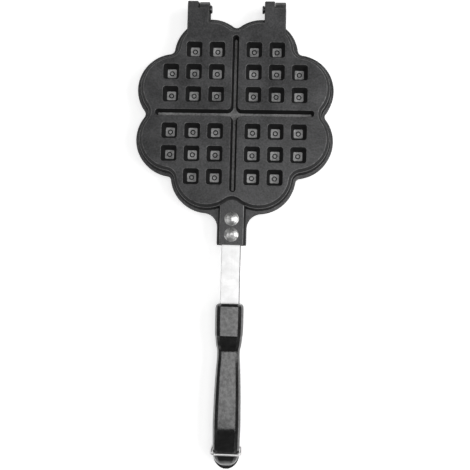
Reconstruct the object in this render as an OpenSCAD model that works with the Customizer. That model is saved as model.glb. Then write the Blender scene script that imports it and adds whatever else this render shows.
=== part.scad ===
// Hinged stove-top waffle pan with two equal lobed castings, riveted straps, grips and a wire bail.
// Origin: centre of the lower casting's outer face. +Y points to the hinge, +Z is up, sizes in mm.

/* [Castings] */
// Distance between neighbouring studs
stud_pitch = 20; // [19.5:0.1:20.5]
// Distance of the first stud row from the centre lines
first_stud = 16.2; // [15.8:0.1:16.6]
// Depth of one casting, outer face to parting plane
plate_h = 11.5; // [11.2:0.1:12.5]
// Gap between the closed castings
part_gap = 0.3; // [0.2:0.05:0.5]
// Thickness of the cooking wall
wall_t = 2.5; // [2:0.1:3]
// Radius of each rim lobe
lobe_r = 32.5; // [31.5:0.25:33.5]
// Distance of the lobe centres from the plate centre
lobe_dist = 58.8; // [58:0.2:60]
// Radius of the fillet between two lobes
notch_r = 4.75; // [4:0.25:5.5]

/* [Rim] */
// Thickness of the flange round the rim
flange_t = 3; // [2.5:0.25:3.5]
// Width of the flange outside the wall
flange_w = 2.4; // [2:0.1:2.8]
// Distance of the shoulder's crest from the rim
crest_w = 3.9; // [3.6:0.1:4.2]
// Drop of the shoulder's crest below the outer face
crest_drop = 3.4; // [3:0.1:3.8]
// Distance of the outer face's edge from the rim
face_w = 6.8; // [6.4:0.1:7.2]
// Width of the sealing land at the parting plane
land_w = 4.6; // [4.2:0.1:5]

/* [Studs and grooves] */
// Half width of a pocket at its mouth
pocket_mouth = 6.95; // [6.5:0.05:7.1]
// Half width of a pocket at its floor
pocket_floor = 4; // [3.5:0.1:4.5]
// Depth of the pockets
pocket_depth = 6.9; // [6:0.1:7]
// Half width of a stud at its root
stud_root = 8.1; // [7.9:0.1:8.4]
// Half width of a stud at its tip
stud_tip = 5.9; // [5.6:0.1:6.2]
// Space between a stud's tip and the parting plane
stud_short = 2.3; // [2.1:0.1:2.6]
// Half width of the cross groove at its mouth
groove_mouth = 2.8; // [2.6:0.1:3]
// Half width of the cross groove at its floor
groove_floor = 1.25; // [1:0.05:1.5]
// Length of each groove arm from the centre
groove_arm = 69.2; // [68:0.2:70]
// Half width of the dividing ridge at its root
ridge_root = 4.4; // [4.2:0.1:4.8]
// Half width of the dividing ridge at its tip
ridge_tip = 2.6; // [2.3:0.1:2.9]
// Space between the ridge's tip and the parting plane
ridge_short = 0.4; // [0.3:0.1:0.8]

/* [Hinge] */
// Distance of the hinge axis from the plate centre
hinge_y = 97.2; // [96.5:0.1:99]
// Inner side of each ear
ear_in = 24.6; // [24:0.2:26]
// Outer side of each ear
ear_out = 43.4; // [42.6:0.2:44.4]
// Radius of the knuckles
knuckle_r = 6.3; // [5.8:0.1:6.6]
// Clearance round a knuckle in the other casting
knuckle_gap = 0.6; // [0.4:0.1:0.8]
// Clearance between the sides of two knuckles
knuckle_side_gap = 0.4; // [0.3:0.1:0.6]
// Reach of each ear's lip past the hinge axis
ear_lip = 2.8; // [2.4:0.1:3]
// Radius of the hinge pins
pin_r = 2.5; // [2.2:0.1:2.8]
// Radial clearance of a pin in its bore
pin_fit = 0.08; // [0.04:0.01:0.1]
// Radius of the pin heads
pin_head_r = 3.5; // [3.2:0.1:4]
// Thickness of the pin heads
pin_head_t = 2; // [1.6:0.1:2.4]

/* [Tang and strap] */
// End of the tang, from the plate centre
tang_end = 114.7; // [113.5:0.1:116]
// Half width of the tang's flange
tang_flange = 12.9; // [12.6:0.1:13.4]
// Half width of the tang's raised box at its foot
tang_foot = 12.2; // [12:0.1:12.4]
// Half width of the tang's raised box at its top
tang_top = 10.2; // [10:0.1:10.6]
// Radius of the fillets between tang and rim
tang_fillet = 13.1; // [12.6:0.1:13.6]
// Thickness of the tang's roof over the strap
tang_roof = 2.7; // [2.4:0.1:3]
// Start of the strap inside the tang, from the plate centre
strap_start = 82.4; // [82.2:0.1:84]
// Width of the strap
strap_w = 16.4; // [15.6:0.2:16.8]
// Thickness of the strap
strap_t = 2; // [1.8:0.1:2.2]
// Width of the strap's tail inside the grip
tail_w = 12; // [11:0.5:13]
// Clearance round the strap
strap_fit = 0.1; // [0.06:0.02:0.14]
// First rivet, from the plate centre
rivet_y1 = 92.1; // [91.6:0.1:92.6]
// Second rivet, from the plate centre
rivet_y2 = 105.9; // [105.4:0.1:106.4]
// Radius of the rivets' shanks
rivet_r = 2.6; // [2.2:0.1:2.8]
// Radius of the rivets' domed heads
rivet_head_r = 6.1; // [5.6:0.1:6.4]
// Height of the rivets' domed heads
rivet_head_h = 2.4; // [2:0.1:2.8]
// Radius of the rivets' closed ends
rivet_tail_r = 4.4; // [4:0.1:4.8]
// Height of the rivets' closed ends
rivet_tail_h = 1.4; // [1:0.1:1.6]

/* [Grips] */
// Front end of the grips, from the plate centre
grip_start = 165.2; // [164:0.2:168]
// Distance of each grip's inner face from the parting plane
grip_lift = 0.5; // [0.4:0.05:0.8]
// Half width of the grip's head
head_half = 12.2; // [11.8:0.1:12.4]
// Length of the grip's head
head_len = 27.4; // [26:0.2:29]
// Height of the grip's head above the parting plane
head_h = 11.2; // [10.8:0.1:11.2]
// Half width of the grip's waist
waist_half = 9.7; // [9.4:0.1:10.2]
// Distance of the waist from the front end
waist_at = 42.6; // [41:0.2:44]
// Height of the grip at its waist
waist_h = 8.3; // [8.1:0.1:8.9]
// Half width of the grip's palm swell
palm_half = 11.8; // [11.4:0.1:12]
// Distance of the widest palm from the front end
palm_at = 104; // [101:0.5:107]
// Height of the grip at its palm swell
palm_h = 10.9; // [10.6:0.1:11.2]
// Length of the lower grip
grip_len = 141.3; // [140.5:0.1:143]
// Length of the lower grip's rounded end
grip_round = 13; // [12:0.25:14]

/* [Grip screws] */
// Front screw, from the front end of the grip
screw_front = 18; // [16:0.5:20]
// Rear screw, from the front end of the grip
screw_rear = 76; // [74:0.5:80]
// Radius of the screws' shanks
screw_r = 1.5; // [1.3:0.1:1.6]
// Radius of the screws' heads
screw_head_r = 2.9; // [2.6:0.1:3]
// Height of the screws' heads
screw_head_h = 1.2; // [1:0.1:1.3]
// Outer radius of the threaded inserts
insert_r = 2.6; // [2.4:0.1:2.8]
// Length of the threaded inserts
insert_len = 3; // [2.6:0.1:3.2]

/* [Wire bail] */
// Radius of the wire
wire_r = 1; // [0.8:0.05:1.1]
// Distance of the bail pivot from the lower grip's rear end
bail_from_end = 17; // [16.5:0.1:17.5]
// Depth of the bail pivot below the hinge plane
bail_drop = 6; // [5.8:0.1:6.2]
// Distance of the bail's legs from the centre line
bail_half = 12.9; // [12.8:0.05:13.4]
// Backward offset of the crossbar from the pivot
bail_lean = 1.5; // [1:0.1:2]
// Clearance between the crossbar and the upper grip
bail_clear = 0.35; // [0.3:0.05:0.5]
// Length of the wire's ends in the grip
bail_pin = 4.2; // [3.5:0.1:5]

/* [Hidden] */

// Colours
coat = [0.23, 0.23, 0.24];
steel = [0.78, 0.79, 0.8];
dark_steel = [0.2, 0.2, 0.21];
phenolic = [0.06, 0.06, 0.06];
brass = [0.72, 0.58, 0.3];

// Fineness of round solids, and a small overlap that lets cuts run past a face
$fn = 64;
over = 1;

// The hinge plane is the middle of the parting gap
hinge_z = plate_h + part_gap / 2;

// Lobed outline
lobes = 8;
half_step = 180 / lobes;
lobe_segments = 18;
notch_segments = 5;
fillet_segments = 12;
notch_dist = lobe_dist * cos(half_step)
    + sqrt(pow(lobe_r + notch_r, 2) - pow(lobe_dist * sin(half_step), 2));
lobe_half = atan2(notch_dist * sin(half_step), notch_dist * cos(half_step) - lobe_dist);

// Rim and cavity profiles as [inset from the rim, height above the parting plane]
edge_round = 0.5;
face_round = 0.9;
crest_z = plate_h - crest_drop;
inner_z = plate_h - wall_t;
flange_profile = [
    [0, -over],
    [0, flange_t - edge_round],
    [edge_round + over, flange_t + over]];
wall_draft = (crest_w - edge_round - flange_w) / (crest_z - edge_round - flange_t);
face_slope = 0.7;
shoulder_profile = [
    [flange_w - over * wall_draft, flange_t - over],
    [crest_w - edge_round, crest_z - edge_round],
    [crest_w, crest_z],
    [face_w - face_round, plate_h - face_slope * face_round],
    [face_w + over, plate_h + face_slope * over]];
cavity_draft = 2 / 9;
cavity_profile = [
    [land_w - over * cavity_draft, -over],
    [land_w + (inner_z + over) * cavity_draft, inner_z + over]];

// Stud rows: three on each side of both centre lines
rows = 3;
row_centres = [for (side = [-1, 1]) for (k = [0 : rows - 1]) side * (first_stud + k * stud_pitch)];
last_row = first_stud + (rows - 1) * stud_pitch;
grid_reach = 2 * (last_row + stud_pitch);

// Ears
split_shift = 0.3;
ear_split = (ear_in + ear_out) / 2 - split_shift;
ear_root = 64.5;
ear_chamfer = 1;
ear_step = ear_lip + knuckle_gap;

// Strap channel in the tang
channel_z = crest_z - tang_roof;
strap_top = channel_z - strap_fit / 2;
strap_low = strap_top - strap_t;
channel_start = strap_start - 3 * strap_fit;
tang_root = 70;
mouth_depth = 2.6;
tail_past_screw = 10;
tail_end = grip_start + screw_rear + tail_past_screw;
hole_fit = 0.05;

// Screws: depth of the heads below the grip's inner face, and their cross recess
head_sink = 0.2;
recess_half = 0.4;
recess_reach = 0.6 * screw_head_r;
recess_depth = 0.7 * screw_head_h;

// Bail
bail_from_front = grip_len - bail_from_end;
bail_y = grip_start + bail_from_front;
bail_rise = 1;
bail_top = waist_h + bail_rise;
bail_height = bail_drop + part_gap / 2 + bail_top + bail_clear + wire_r;
bail_reach = sqrt(bail_height * bail_height + bail_lean * bail_lean);
bail_tilt = atan2(bail_lean, bail_height);
swing_r = bail_reach - wire_r - bail_clear;
pivot_local = -bail_drop - part_gap / 2;
upper_end = bail_y + sqrt(swing_r * swing_r - pow(grip_lift - pivot_local, 2));
foot_bend = 1.3 * wire_r;
top_bend = 3 * wire_r;
bail_fit = 0.08;
bail_end_gap = 0.2;

// Grip body: the flat facet's share of its width, and the roundings at its front and its head
facet_ratio = 0.62;
nose_len = 5.4;
nose_side_depth = 2.6;
nose_facet_depth = 1.6;
nose_top_depth = 2.4;
head_edge = 0.3;
waist_flat = 1.1;
tail_edge = 0.4;
grip_edge = 0.6;

// Front rounding as [share of its length, share of its depth]
nose_steps = [[0, 1], [0.15, 0.46], [0.48, 0.08], [1, 0]];
// Swell from waist to palm as [share of the way, share of the width, share of the height]
swell_steps = [[0.23, 0.35, 0.45], [0.52, 0.75, 0.85], [0.8, 0.93, 1]];
// Fall from the palm to the bail, as shares of the way
fall_steps = [0, 0.44, 0.67];
// Side of the cross-section as [share of the way in to the facet, share of the height]
side_steps = [[0, 0.5], [0.35, 0.8], [0.86, 0.97], [1.05, 1]];

// Rounded ends of the grips
grip_end = grip_start + grip_len;
end_steps = 9;
end_cut_ratio = 0.985;
end_lead = 0.5;
end_start = bail_y + end_lead;
end_least_h = 0.4;
end_fall_ratio = 0.9;

// Points of the lobed outline, moved inwards by an inset
function lobed(inset) = [
    for (k = [0 : lobes - 1])
        let (mid = half_step * (2 * k + 1),
             notch_mid = half_step * (2 * k + 2),
             turn = 2 * (half_step - lobe_half))
        each concat(
            [for (i = [0 : lobe_segments])
                let (a = mid + lobe_half * (2 * i / lobe_segments - 1))
                lobe_dist * [cos(mid), sin(mid)] + (lobe_r - inset) * [cos(a), sin(a)]],
            [for (i = [1 : notch_segments - 1])
                let (a = mid + lobe_half + 180 + turn * i / notch_segments)
                notch_dist * [cos(notch_mid), sin(notch_mid)] + (notch_r + inset) * [cos(a), sin(a)]])];

// A solid through equal rings of points, closed by flat ends
module loft(rings) {
    n = len(rings[0]);
    last = len(rings) - 1;
    polyhedron(
        points = [for (ring = rings) each ring],
        faces = concat(
            [[for (i = [0 : n - 1]) i]],
            [for (k = [0 : last - 1]) for (i = [0 : n - 1])
                [k * n + i, (k + 1) * n + i, (k + 1) * n + (i + 1) % n]],
            [for (k = [0 : last - 1]) for (i = [0 : n - 1])
                [k * n + i, (k + 1) * n + (i + 1) % n, k * n + (i + 1) % n]],
            [[for (i = [n - 1 : -1 : 0]) last * n + i]]));
}

// A lobed solid that follows a profile, cut flat at a low and a high level
module lobed_solid(profile, low, high) {
    reach = lobe_dist + lobe_r + over;
    intersection() {
        loft([for (step = profile) [for (p = lobed(step[0])) [p[0], p[1], step[1]]]]);
        translate([-reach, -reach, low]) cube([2 * reach, 2 * reach, high - low]);
    }
}

// Extrudes an outline drawn in Y and Z along X
module along_x(x0, x1) {
    translate([x0, 0, 0]) rotate([90, 0, 90]) linear_extrude(x1 - x0) children();
}

module rod_x(x0, x1, y, z, r) {
    translate([x0, y, z]) rotate([0, 90, 0]) cylinder(r = r, h = x1 - x0);
}

// A bar along Y whose half width goes from one value at its low face to another at its high face
module tapered_bar(low_half, low_z, high_half, high_z, length) {
    rotate([90, 0, 0]) linear_extrude(length, center = true)
        polygon([[-low_half, low_z], [low_half, low_z], [high_half, high_z], [-high_half, high_z]]);
}

module tapered_rows(low_half, low_z, high_half, high_z) {
    for (c = row_centres)
        translate([c, 0, 0]) tapered_bar(low_half, low_z, high_half, high_z, grid_reach);
}

// Square tapered blocks in every cell of the grid but the four corners
module tapered_grid(low_half, low_z, high_half, high_z) {
    difference() {
        intersection() {
            tapered_rows(low_half, low_z, high_half, high_z);
            rotate([0, 0, 90]) tapered_rows(low_half, low_z, high_half, high_z);
        }
        for (sx = [-1, 1]) for (sy = [-1, 1])
            translate([sx * last_row, sy * last_row, (low_z + high_z) / 2])
                cube([stud_pitch, stud_pitch, high_z - low_z + 2 * over], center = true);
    }
}

module tapered_cross(low_half, low_z, high_half, high_z, arm) {
    for (turn = [0, 90])
        rotate([0, 0, turn]) tapered_bar(low_half, low_z, high_half, high_z, 2 * arm);
}

// Hollow backs of the studs, run past the outer face
module pockets() {
    widen = (pocket_mouth - pocket_floor) / pocket_depth;
    tapered_grid(pocket_floor, plate_h - pocket_depth,
                 pocket_mouth + widen * over, plate_h + over);
}

module cross_groove() {
    widen = (groove_mouth - groove_floor) / pocket_depth;
    tapered_cross(groove_floor, plate_h - pocket_depth,
                  groove_mouth + widen * over, plate_h + over, groove_arm);
}

// Cooking space of one casting, with the studs and the dividing ridge left standing
module cooking_space() {
    draft = (stud_root - stud_tip) / (inner_z - stud_short);
    ridge_draft = (ridge_root - ridge_tip) / (inner_z - ridge_short);
    difference() {
        lobed_solid(cavity_profile, -over / 2, inner_z);
        tapered_grid(stud_tip, stud_short, stud_root + draft * over, inner_z + over);
        tapered_cross(ridge_tip, ridge_short, ridge_root + ridge_draft * over, inner_z + over,
                      notch_dist);
    }
}

// Ear block up to a given reach, with its top edge broken
module ear_block(x0, x1, reach) {
    along_x(x0, x1) polygon([
        [ear_root, 0], [reach, 0], [reach, plate_h - ear_chamfer],
        [reach - ear_chamfer, plate_h], [ear_root, plate_h]]);
}

module knuckle_ear(x0, x1) {
    ear_block(x0, x1, hinge_y + ear_lip);
    rod_x(x0, x1, hinge_y, -part_gap / 2, knuckle_r);
}

module ears() {
    ear_block(-ear_out, -ear_in, hinge_y - ear_step);
    ear_block(ear_in, ear_out, hinge_y - ear_step);
    knuckle_ear(-ear_out, -ear_split - knuckle_side_gap / 2);
    knuckle_ear(ear_in, ear_split - knuckle_side_gap / 2);
}

// Room for the other casting's knuckles, and the pin bores
module hinge_cuts() {
    rod_x(-ear_split - knuckle_side_gap / 2, -ear_in + over, hinge_y, -part_gap / 2,
          knuckle_r + knuckle_gap);
    rod_x(ear_split - knuckle_side_gap / 2, ear_out + over, hinge_y, -part_gap / 2,
          knuckle_r + knuckle_gap);
    for (x = [-ear_out - over, ear_in - over])
        rod_x(x, x + ear_out - ear_in + 2 * over, hinge_y, -part_gap / 2, pin_r + pin_fit);
}

// The tang's flange runs into the two lobes beside it with tangent fillets
module tang() {
    fillet_x = tang_flange + tang_fillet;
    lobe_x = lobe_dist * sin(half_step);
    lobe_y = -lobe_dist * cos(half_step);
    fillet_y = lobe_y - sqrt(pow(lobe_r + tang_fillet, 2) - pow(fillet_x - lobe_x, 2));
    run_out = atan2(lobe_y - fillet_y, lobe_x - fillet_x);
    side = [for (i = [0 : fillet_segments])
        let (a = 180 + (run_out - 180) * i / fillet_segments)
        [fillet_x + tang_fillet * cos(a), fillet_y + tang_fillet * sin(a)]];
    linear_extrude(flange_t) polygon(concat(
        [[lobe_x, -tang_root], [-lobe_x, -tang_root]],
        [for (i = [fillet_segments : -1 : 0]) [-side[i][0], side[i][1]]],
        [[-tang_flange, -tang_end], [tang_flange, -tang_end]],
        side));
    translate([0, -(tang_root + tang_end) / 2, 0])
        tapered_bar(tang_foot, flange_t - edge_round, tang_top, crest_z, tang_end - tang_root);
}

module tang_cuts() {
    translate([-strap_w / 2 - strap_fit, -tang_end - over, -over])
        cube([strap_w + 2 * strap_fit, tang_end - channel_start + over, channel_z + over]);
    for (y = [rivet_y1, rivet_y2])
        translate([0, -y, 0]) cylinder(r = rivet_r + hole_fit, h = plate_h);
}

// One casting: parting plane at zero, outer face up
module casting() {
    difference() {
        union() {
            lobed_solid(flange_profile, 0, flange_t);
            lobed_solid(shoulder_profile, flange_t - over / 2, plate_h);
            ears();
            tang();
        }
        cooking_space();
        pockets();
        cross_groove();
        hinge_cuts();
        tang_cuts();
    }
}

// Places a piece drawn for the upper half, or turns it over for the lower half
module upper() {
    translate([0, 0, hinge_z + part_gap / 2]) children();
}

module lower() {
    translate([0, 0, hinge_z - part_gap / 2]) rotate([0, 180, 0]) children();
}

module strap() {
    color(steel) difference() {
        union() {
            translate([-strap_w / 2, -grip_start - mouth_depth + strap_fit, strap_low])
                cube([strap_w, grip_start + mouth_depth - strap_fit - strap_start, strap_t]);
            translate([-tail_w / 2, -tail_end, strap_low])
                cube([tail_w, tail_end - grip_start, strap_t]);
        }
        for (y = [rivet_y1, rivet_y2])
            translate([0, -y, 0]) cylinder(r = rivet_r + hole_fit, h = plate_h);
        for (y = [screw_front, screw_rear])
            translate([0, -grip_start - y, 0]) cylinder(r = screw_r + 2 * strap_fit, h = plate_h);
    }
}

// Domed head on the tang, shank through roof and strap, closed end below the strap
module rivet(y) {
    ball = (rivet_head_r * rivet_head_r + rivet_head_h * rivet_head_h) / (2 * rivet_head_h);
    color(steel) translate([0, -y, 0]) {
        intersection() {
            translate([0, 0, crest_z + rivet_head_h - ball]) sphere(r = ball);
            translate([0, 0, crest_z]) cylinder(r = rivet_head_r, h = rivet_head_h);
        }
        translate([0, 0, strap_low - rivet_tail_h / 2])
            cylinder(r = rivet_r, h = crest_z - strap_low + rivet_tail_h);
        translate([0, 0, strap_low - rivet_tail_h]) cylinder(r = rivet_tail_r, h = rivet_tail_h);
    }
}

// A station of a grip's body as [distance from the front end, half width, facet half width, height]
function station(at, half, flat_in, height) = [at, half, half * facet_ratio - flat_in, height];

function nose_stations() = [for (s = nose_steps)
    [nose_len * s[0], head_half - nose_side_depth * s[1], head_half * facet_ratio - nose_facet_depth * s[1],
     head_h - nose_top_depth * s[1]]];

function head_stations() = [
    station(head_len / 2, head_half, 0, head_h),
    station(head_len - 2 * head_edge, head_half - head_edge, head_edge / 2, head_h),
    station(head_len + 4 * head_edge, head_half - 2 * head_edge, 0, head_h - head_edge),
    station((head_len + waist_at) / 2, (head_half + waist_half) / 2, head_edge / 2,
            (head_h + waist_h) / 2),
    station(waist_at - waist_flat, waist_half, head_edge, waist_h),
    station(waist_at + waist_flat, waist_half, head_edge, waist_h)];

function palm_stations() = concat(
    [for (s = swell_steps)
        station(waist_at + s[0] * (palm_at - waist_at), waist_half + s[1] * (palm_half - waist_half),
                0, waist_h + s[2] * (palm_h - waist_h))],
    [for (s = fall_steps)
        station(palm_at + s * (bail_from_front - palm_at), palm_half - s * tail_edge, 0,
                palm_h - s * (palm_h - bail_top))]);

// Cross-section of a grip at one station, symmetrical about the centre line
function grip_ring(y, half, flat, height) =
    let (low = grip_lift, rise = height - low, r = min(grip_edge, rise / 4),
         right = concat([[half - r, low], [half, low + r]],
                        [for (s = side_steps) [half - s[0] * (half - flat), low + s[1] * rise]]))
    concat([for (p = right) [p[0], -y, p[1]]],
           [for (i = [len(right) - 1 : -1 : 0]) [-right[i][0], -y, right[i][1]]]);

function body_rings() = [for (s = concat(nose_stations(), head_stations(), palm_stations()))
    grip_ring(grip_start + s[0], s[1], s[2], s[3])];

// Height of the upper grip near its end: the wire swings just clear of it
function swing_height(y) = pivot_local + sqrt(max(0, swing_r * swing_r - pow(y - bail_y, 2)));

function end_way(i) = end_cut_ratio * sin(90 * i / end_steps);
function end_half(u) = (palm_half - tail_edge) * sqrt(1 - u * u);

// The upper grip ends in a round that the wire passes over
function upper_rings() = concat(body_rings(), [
    for (i = [0 : end_steps])
        let (u = end_way(i), y = end_start + u * (upper_end - end_start), half = end_half(u))
        grip_ring(y, half, half * facet_ratio, max(swing_height(y), grip_lift + end_least_h))]);

// The lower grip runs on a little further, as a ledge on which the open wire rests
function lower_rings() = concat(body_rings(), [
    for (i = [0 : end_steps])
        let (u = end_way(i), y = grip_end - grip_round * (1 - u), half = end_half(u))
        grip_ring(y, half, half * facet_ratio,
                  grip_lift + (bail_top - grip_lift) * sqrt(1 - end_fall_ratio * u * u))]);

// Socket for the strap, screw holes with counterbores, and pockets for the inserts
module grip_cuts() {
    slot_low = strap_low - strap_fit;
    slot_h = strap_t + 2 * strap_fit;
    translate([-strap_w / 2 - strap_fit, -grip_start - mouth_depth, slot_low])
        cube([strap_w + 2 * strap_fit, mouth_depth + over, slot_h]);
    translate([-tail_w / 2 - strap_fit, -tail_end - strap_fit, slot_low])
        cube([tail_w + 2 * strap_fit, tail_end + strap_fit - grip_start, slot_h]);
    for (y = [screw_front, screw_rear])
        translate([0, -grip_start - y, 0]) {
            cylinder(r = screw_r + hole_fit, h = slot_low + over);
            cylinder(r = screw_head_r + 2 * strap_fit, h = grip_lift + head_sink + screw_head_h);
            translate([0, 0, slot_low + slot_h / 2])
                cylinder(r = insert_r + hole_fit, h = slot_h / 2 + insert_len + 2 * strap_fit);
        }
}

module upper_grip_piece() {
    color(phenolic) difference() {
        loft(upper_rings());
        grip_cuts();
    }
}

module lower_grip_piece() {
    color(phenolic) difference() {
        loft(lower_rings());
        grip_cuts();
        for (side = [-1, 1])
            mirror([side > 0 ? 0 : 1, 0, 0])
                rod_x(bail_half - foot_bend - bail_pin - bail_end_gap, palm_half + over,
                      -bail_y, bail_drop - part_gap / 2, wire_r + bail_fit);
    }
}

// Pan-headed screw with a cross recess, driven from the parting face
module grip_screw(y) {
    head_z = grip_lift + head_sink;
    color(steel) translate([0, -grip_start - y, 0]) difference() {
        union() {
            translate([0, 0, head_z]) cylinder(r = screw_head_r, h = screw_head_h);
            translate([0, 0, head_z + screw_head_h / 2])
                cylinder(r = screw_r, h = strap_top + insert_len - head_z - screw_head_h / 2);
        }
        for (turn = [0, 90]) rotate([0, 0, turn])
            translate([-recess_half, -recess_reach, head_z - over])
                cube([2 * recess_half, 2 * recess_reach, recess_depth + over]);
    }
}

module grip_insert(y) {
    color(brass) translate([0, -grip_start - y, strap_top + strap_fit]) difference() {
        cylinder(r = insert_r, h = insert_len);
        translate([0, 0, -over]) cylinder(r = screw_r + hole_fit, h = insert_len + 2 * over);
    }
}

// Hinge pin with its head on the ear's inner side
module hinge_pin(side) {
    head_gap = 0.2;
    inner = ear_in - head_gap;
    color(dark_steel) translate([0, hinge_y, hinge_z]) rotate([0, side * 90, 0]) {
        translate([0, 0, inner - pin_head_t]) cylinder(r = pin_head_r, h = pin_head_t);
        translate([0, 0, inner - pin_head_t / 2]) cylinder(r = pin_r, h = ear_out - inner + pin_head_t / 2);
    }
}

// Quarter turn of wire that joins a run along +X to a run along +Z
module wire_bend(bend) {
    translate([0, 0, bend]) rotate([90, 0, 0]) rotate([0, 0, -90])
        rotate_extrude(angle = 90) translate([bend, 0]) circle(r = wire_r);
}

module bail_side() {
    foot_x = bail_half - foot_bend;
    top_x = bail_half - top_bend;
    rod_x(foot_x - bail_pin, foot_x, 0, 0, wire_r);
    translate([foot_x, 0, 0]) wire_bend(foot_bend);
    translate([bail_half, 0, foot_bend]) cylinder(r = wire_r, h = bail_reach - foot_bend - top_bend);
    translate([top_x, 0, bail_reach]) mirror([0, 0, 1]) wire_bend(top_bend);
    rod_x(0, top_x, 0, bail_reach, wire_r);
}

module wire_loop() {
    color(steel) translate([0, -bail_y, hinge_z - bail_drop]) rotate([bail_tilt, 0, 0]) {
        bail_side();
        mirror([1, 0, 0]) bail_side();
    }
}

color(coat) upper() casting();  // upper_plate
color(coat) lower() casting();  // lower_plate
hinge_pin(-1);  // left_hinge_pin
hinge_pin(1);  // right_hinge_pin
upper() strap();  // upper_strap
lower() strap();  // lower_strap
upper() rivet(rivet_y1);  // upper_inner_rivet
upper() rivet(rivet_y2);  // upper_outer_rivet
lower() rivet(rivet_y1);  // lower_inner_rivet
lower() rivet(rivet_y2);  // lower_outer_rivet
upper() upper_grip_piece();  // upper_grip
lower() lower_grip_piece();  // lower_grip
upper() grip_screw(screw_front);  // upper_front_screw
upper() grip_screw(screw_rear);  // upper_rear_screw
lower() grip_screw(screw_front);  // lower_front_screw
lower() grip_screw(screw_rear);  // lower_rear_screw
upper() grip_insert(screw_front);  // upper_front_insert
upper() grip_insert(screw_rear);  // upper_rear_insert
lower() grip_insert(screw_front);  // lower_front_insert
lower() grip_insert(screw_rear);  // lower_rear_insert
wire_loop();  // wire_bail
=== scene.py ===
"""Builds the looks of a hinged stove-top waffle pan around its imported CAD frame."""

import math

import bpy
from mathutils import Matrix, Vector


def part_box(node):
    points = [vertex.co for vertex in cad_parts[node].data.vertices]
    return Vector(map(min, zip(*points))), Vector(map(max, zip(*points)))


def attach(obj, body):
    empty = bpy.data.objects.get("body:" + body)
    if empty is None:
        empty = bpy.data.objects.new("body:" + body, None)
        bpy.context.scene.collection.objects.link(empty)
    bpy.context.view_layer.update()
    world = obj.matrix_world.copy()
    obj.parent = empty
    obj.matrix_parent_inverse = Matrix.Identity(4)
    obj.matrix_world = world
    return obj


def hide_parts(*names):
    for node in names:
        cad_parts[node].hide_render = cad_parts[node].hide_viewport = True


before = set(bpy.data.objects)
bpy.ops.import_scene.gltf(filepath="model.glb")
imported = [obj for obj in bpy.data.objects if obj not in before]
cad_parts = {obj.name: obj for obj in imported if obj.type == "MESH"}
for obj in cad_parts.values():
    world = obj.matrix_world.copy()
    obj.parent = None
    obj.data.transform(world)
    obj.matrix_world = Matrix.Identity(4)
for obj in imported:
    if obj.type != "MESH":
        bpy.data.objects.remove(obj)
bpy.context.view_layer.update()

bl_info = {
    "name": "Hinged waffle pan",
    "version": (1, 0, 0),
    "blender": (4, 5, 0),
    "location": "3D View > Sidebar > Waffle pan",
    "description": "Models and finishes the pieces of a hinged stove-top waffle pan",
    "category": "Object",
}

MM = 0.001
HINGE_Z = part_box("upper_plate")[1].z / 2
LOBE_TURN = math.pi / 8

# Tools and joined blocks stand this far off a face, so that no two faces lie in one plane
SKIN = 0.02 * MM
SMALL_SKIN = 0.01 * MM

# Clearances between neighbouring pieces. The pins' fit is the bail's too.
KNUCKLE_GAP = 0.6 * MM
KNUCKLE_SIDE_GAP = 0.2 * MM
PIN_FIT = 0.08 * MM
STRAP_FIT = 0.1 * MM
SCREW_FIT = 0.05 * MM
BAIL_CLEAR = 0.35 * MM

# The castings' ears and tang start inside the lobes, and their edges are rounded
EAR_ROOT = 64.5 * MM
EAR_LIP = 2.8 * MM
EDGE_ROUND = 0.9 * MM
TANG_ROOT = 70 * MM

# The grips: the flat facet's share of the width, and where the screws, strap and bail sit
FACET_SHARE = 0.62
FRONT_ROUND = 5.4 * MM
END_RISE = 1 * MM
SHOULDER_DEPTH = 2.5 * MM
TAIL_PAST_SCREW = 10 * MM
HEAD_SINK = 0.2 * MM
BEND_INSIDE = 0.3 * MM

# Where the coat's colour changes with the distance from the hinge plane, each with its rise and its fall:
# painted shade in the round marks of the pockets and in the tang's seam, the paler pocket floors, and a
# painted highlight on the crest of the shoulder
MARK_BAND = (4.1 * MM, 4.2 * MM), (4.6 * MM, 4.7 * MM)
FLOOR_BAND = (4.6 * MM, 4.7 * MM), (5.0 * MM, 5.4 * MM)
SEAM_BAND = (6.4 * MM, 6.5 * MM), (7.0 * MM, 7.2 * MM)
CREST_HEIGHT = 8.2 * MM

# The camera, fitted to the places of the pockets, ears, tang and grips in the photograph
CAMERA_PLACE = (0.02272, -0.13730, 0.51895)
CAMERA_TURN = (3.6283, 2.1429, 1.4482)
LENS = 44.43


def length(name, description, millimetres):
    """A size that is shown in the scene's unit of length."""
    return bpy.props.FloatProperty(
        name=name, description=description, default=millimetres * MM, unit="LENGTH", precision=5)


def colour(name, description, value):
    """A colour, in linear red, green and blue."""
    return bpy.props.FloatVectorProperty(
        name=name, description=description, default=value, size=3, min=0, max=1, subtype="COLOR")


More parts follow.
